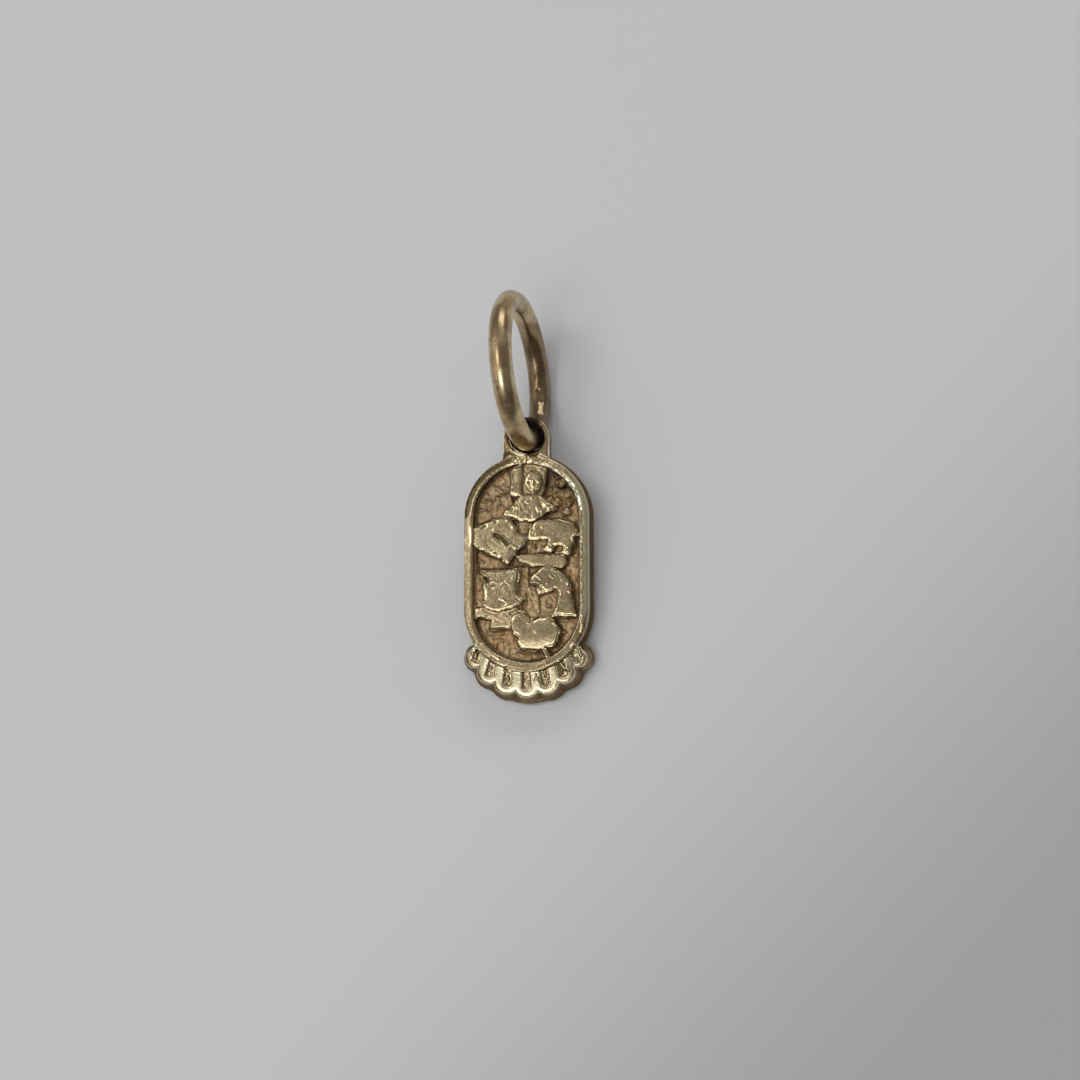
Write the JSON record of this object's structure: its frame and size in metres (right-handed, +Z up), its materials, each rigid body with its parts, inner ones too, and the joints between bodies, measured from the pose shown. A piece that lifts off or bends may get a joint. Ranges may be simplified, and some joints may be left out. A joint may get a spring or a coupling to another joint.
{
  "type": "charm pendant",
  "caption": "Small cast gold charm pendant: oval plaque with raised rim and lucky figures in relief, scalloped foot, pierced lug and a round-wire jump ring for a chain.",
  "frame": {"origin": "on the table, under the middle of the lying pendant's bounding box", "axes": "+Y from the scalloped foot towards the jump ring, +X to the right across the plaque seen from above, +Z up from the table"},
  "size_m": [0.0072, 0.022, 0.0087],
  "materials": {
    "cast_gold": "worn cast gold, bright on the raised faces and brown with tarnish in the recesses",
    "ring_gold": "worn satin gold wire with brownish tarnish"
  },
  "bodies": {
    "root": {"plaque": "cast_gold", "jump_ring": "ring_gold"}
  },
  "joints": []
}
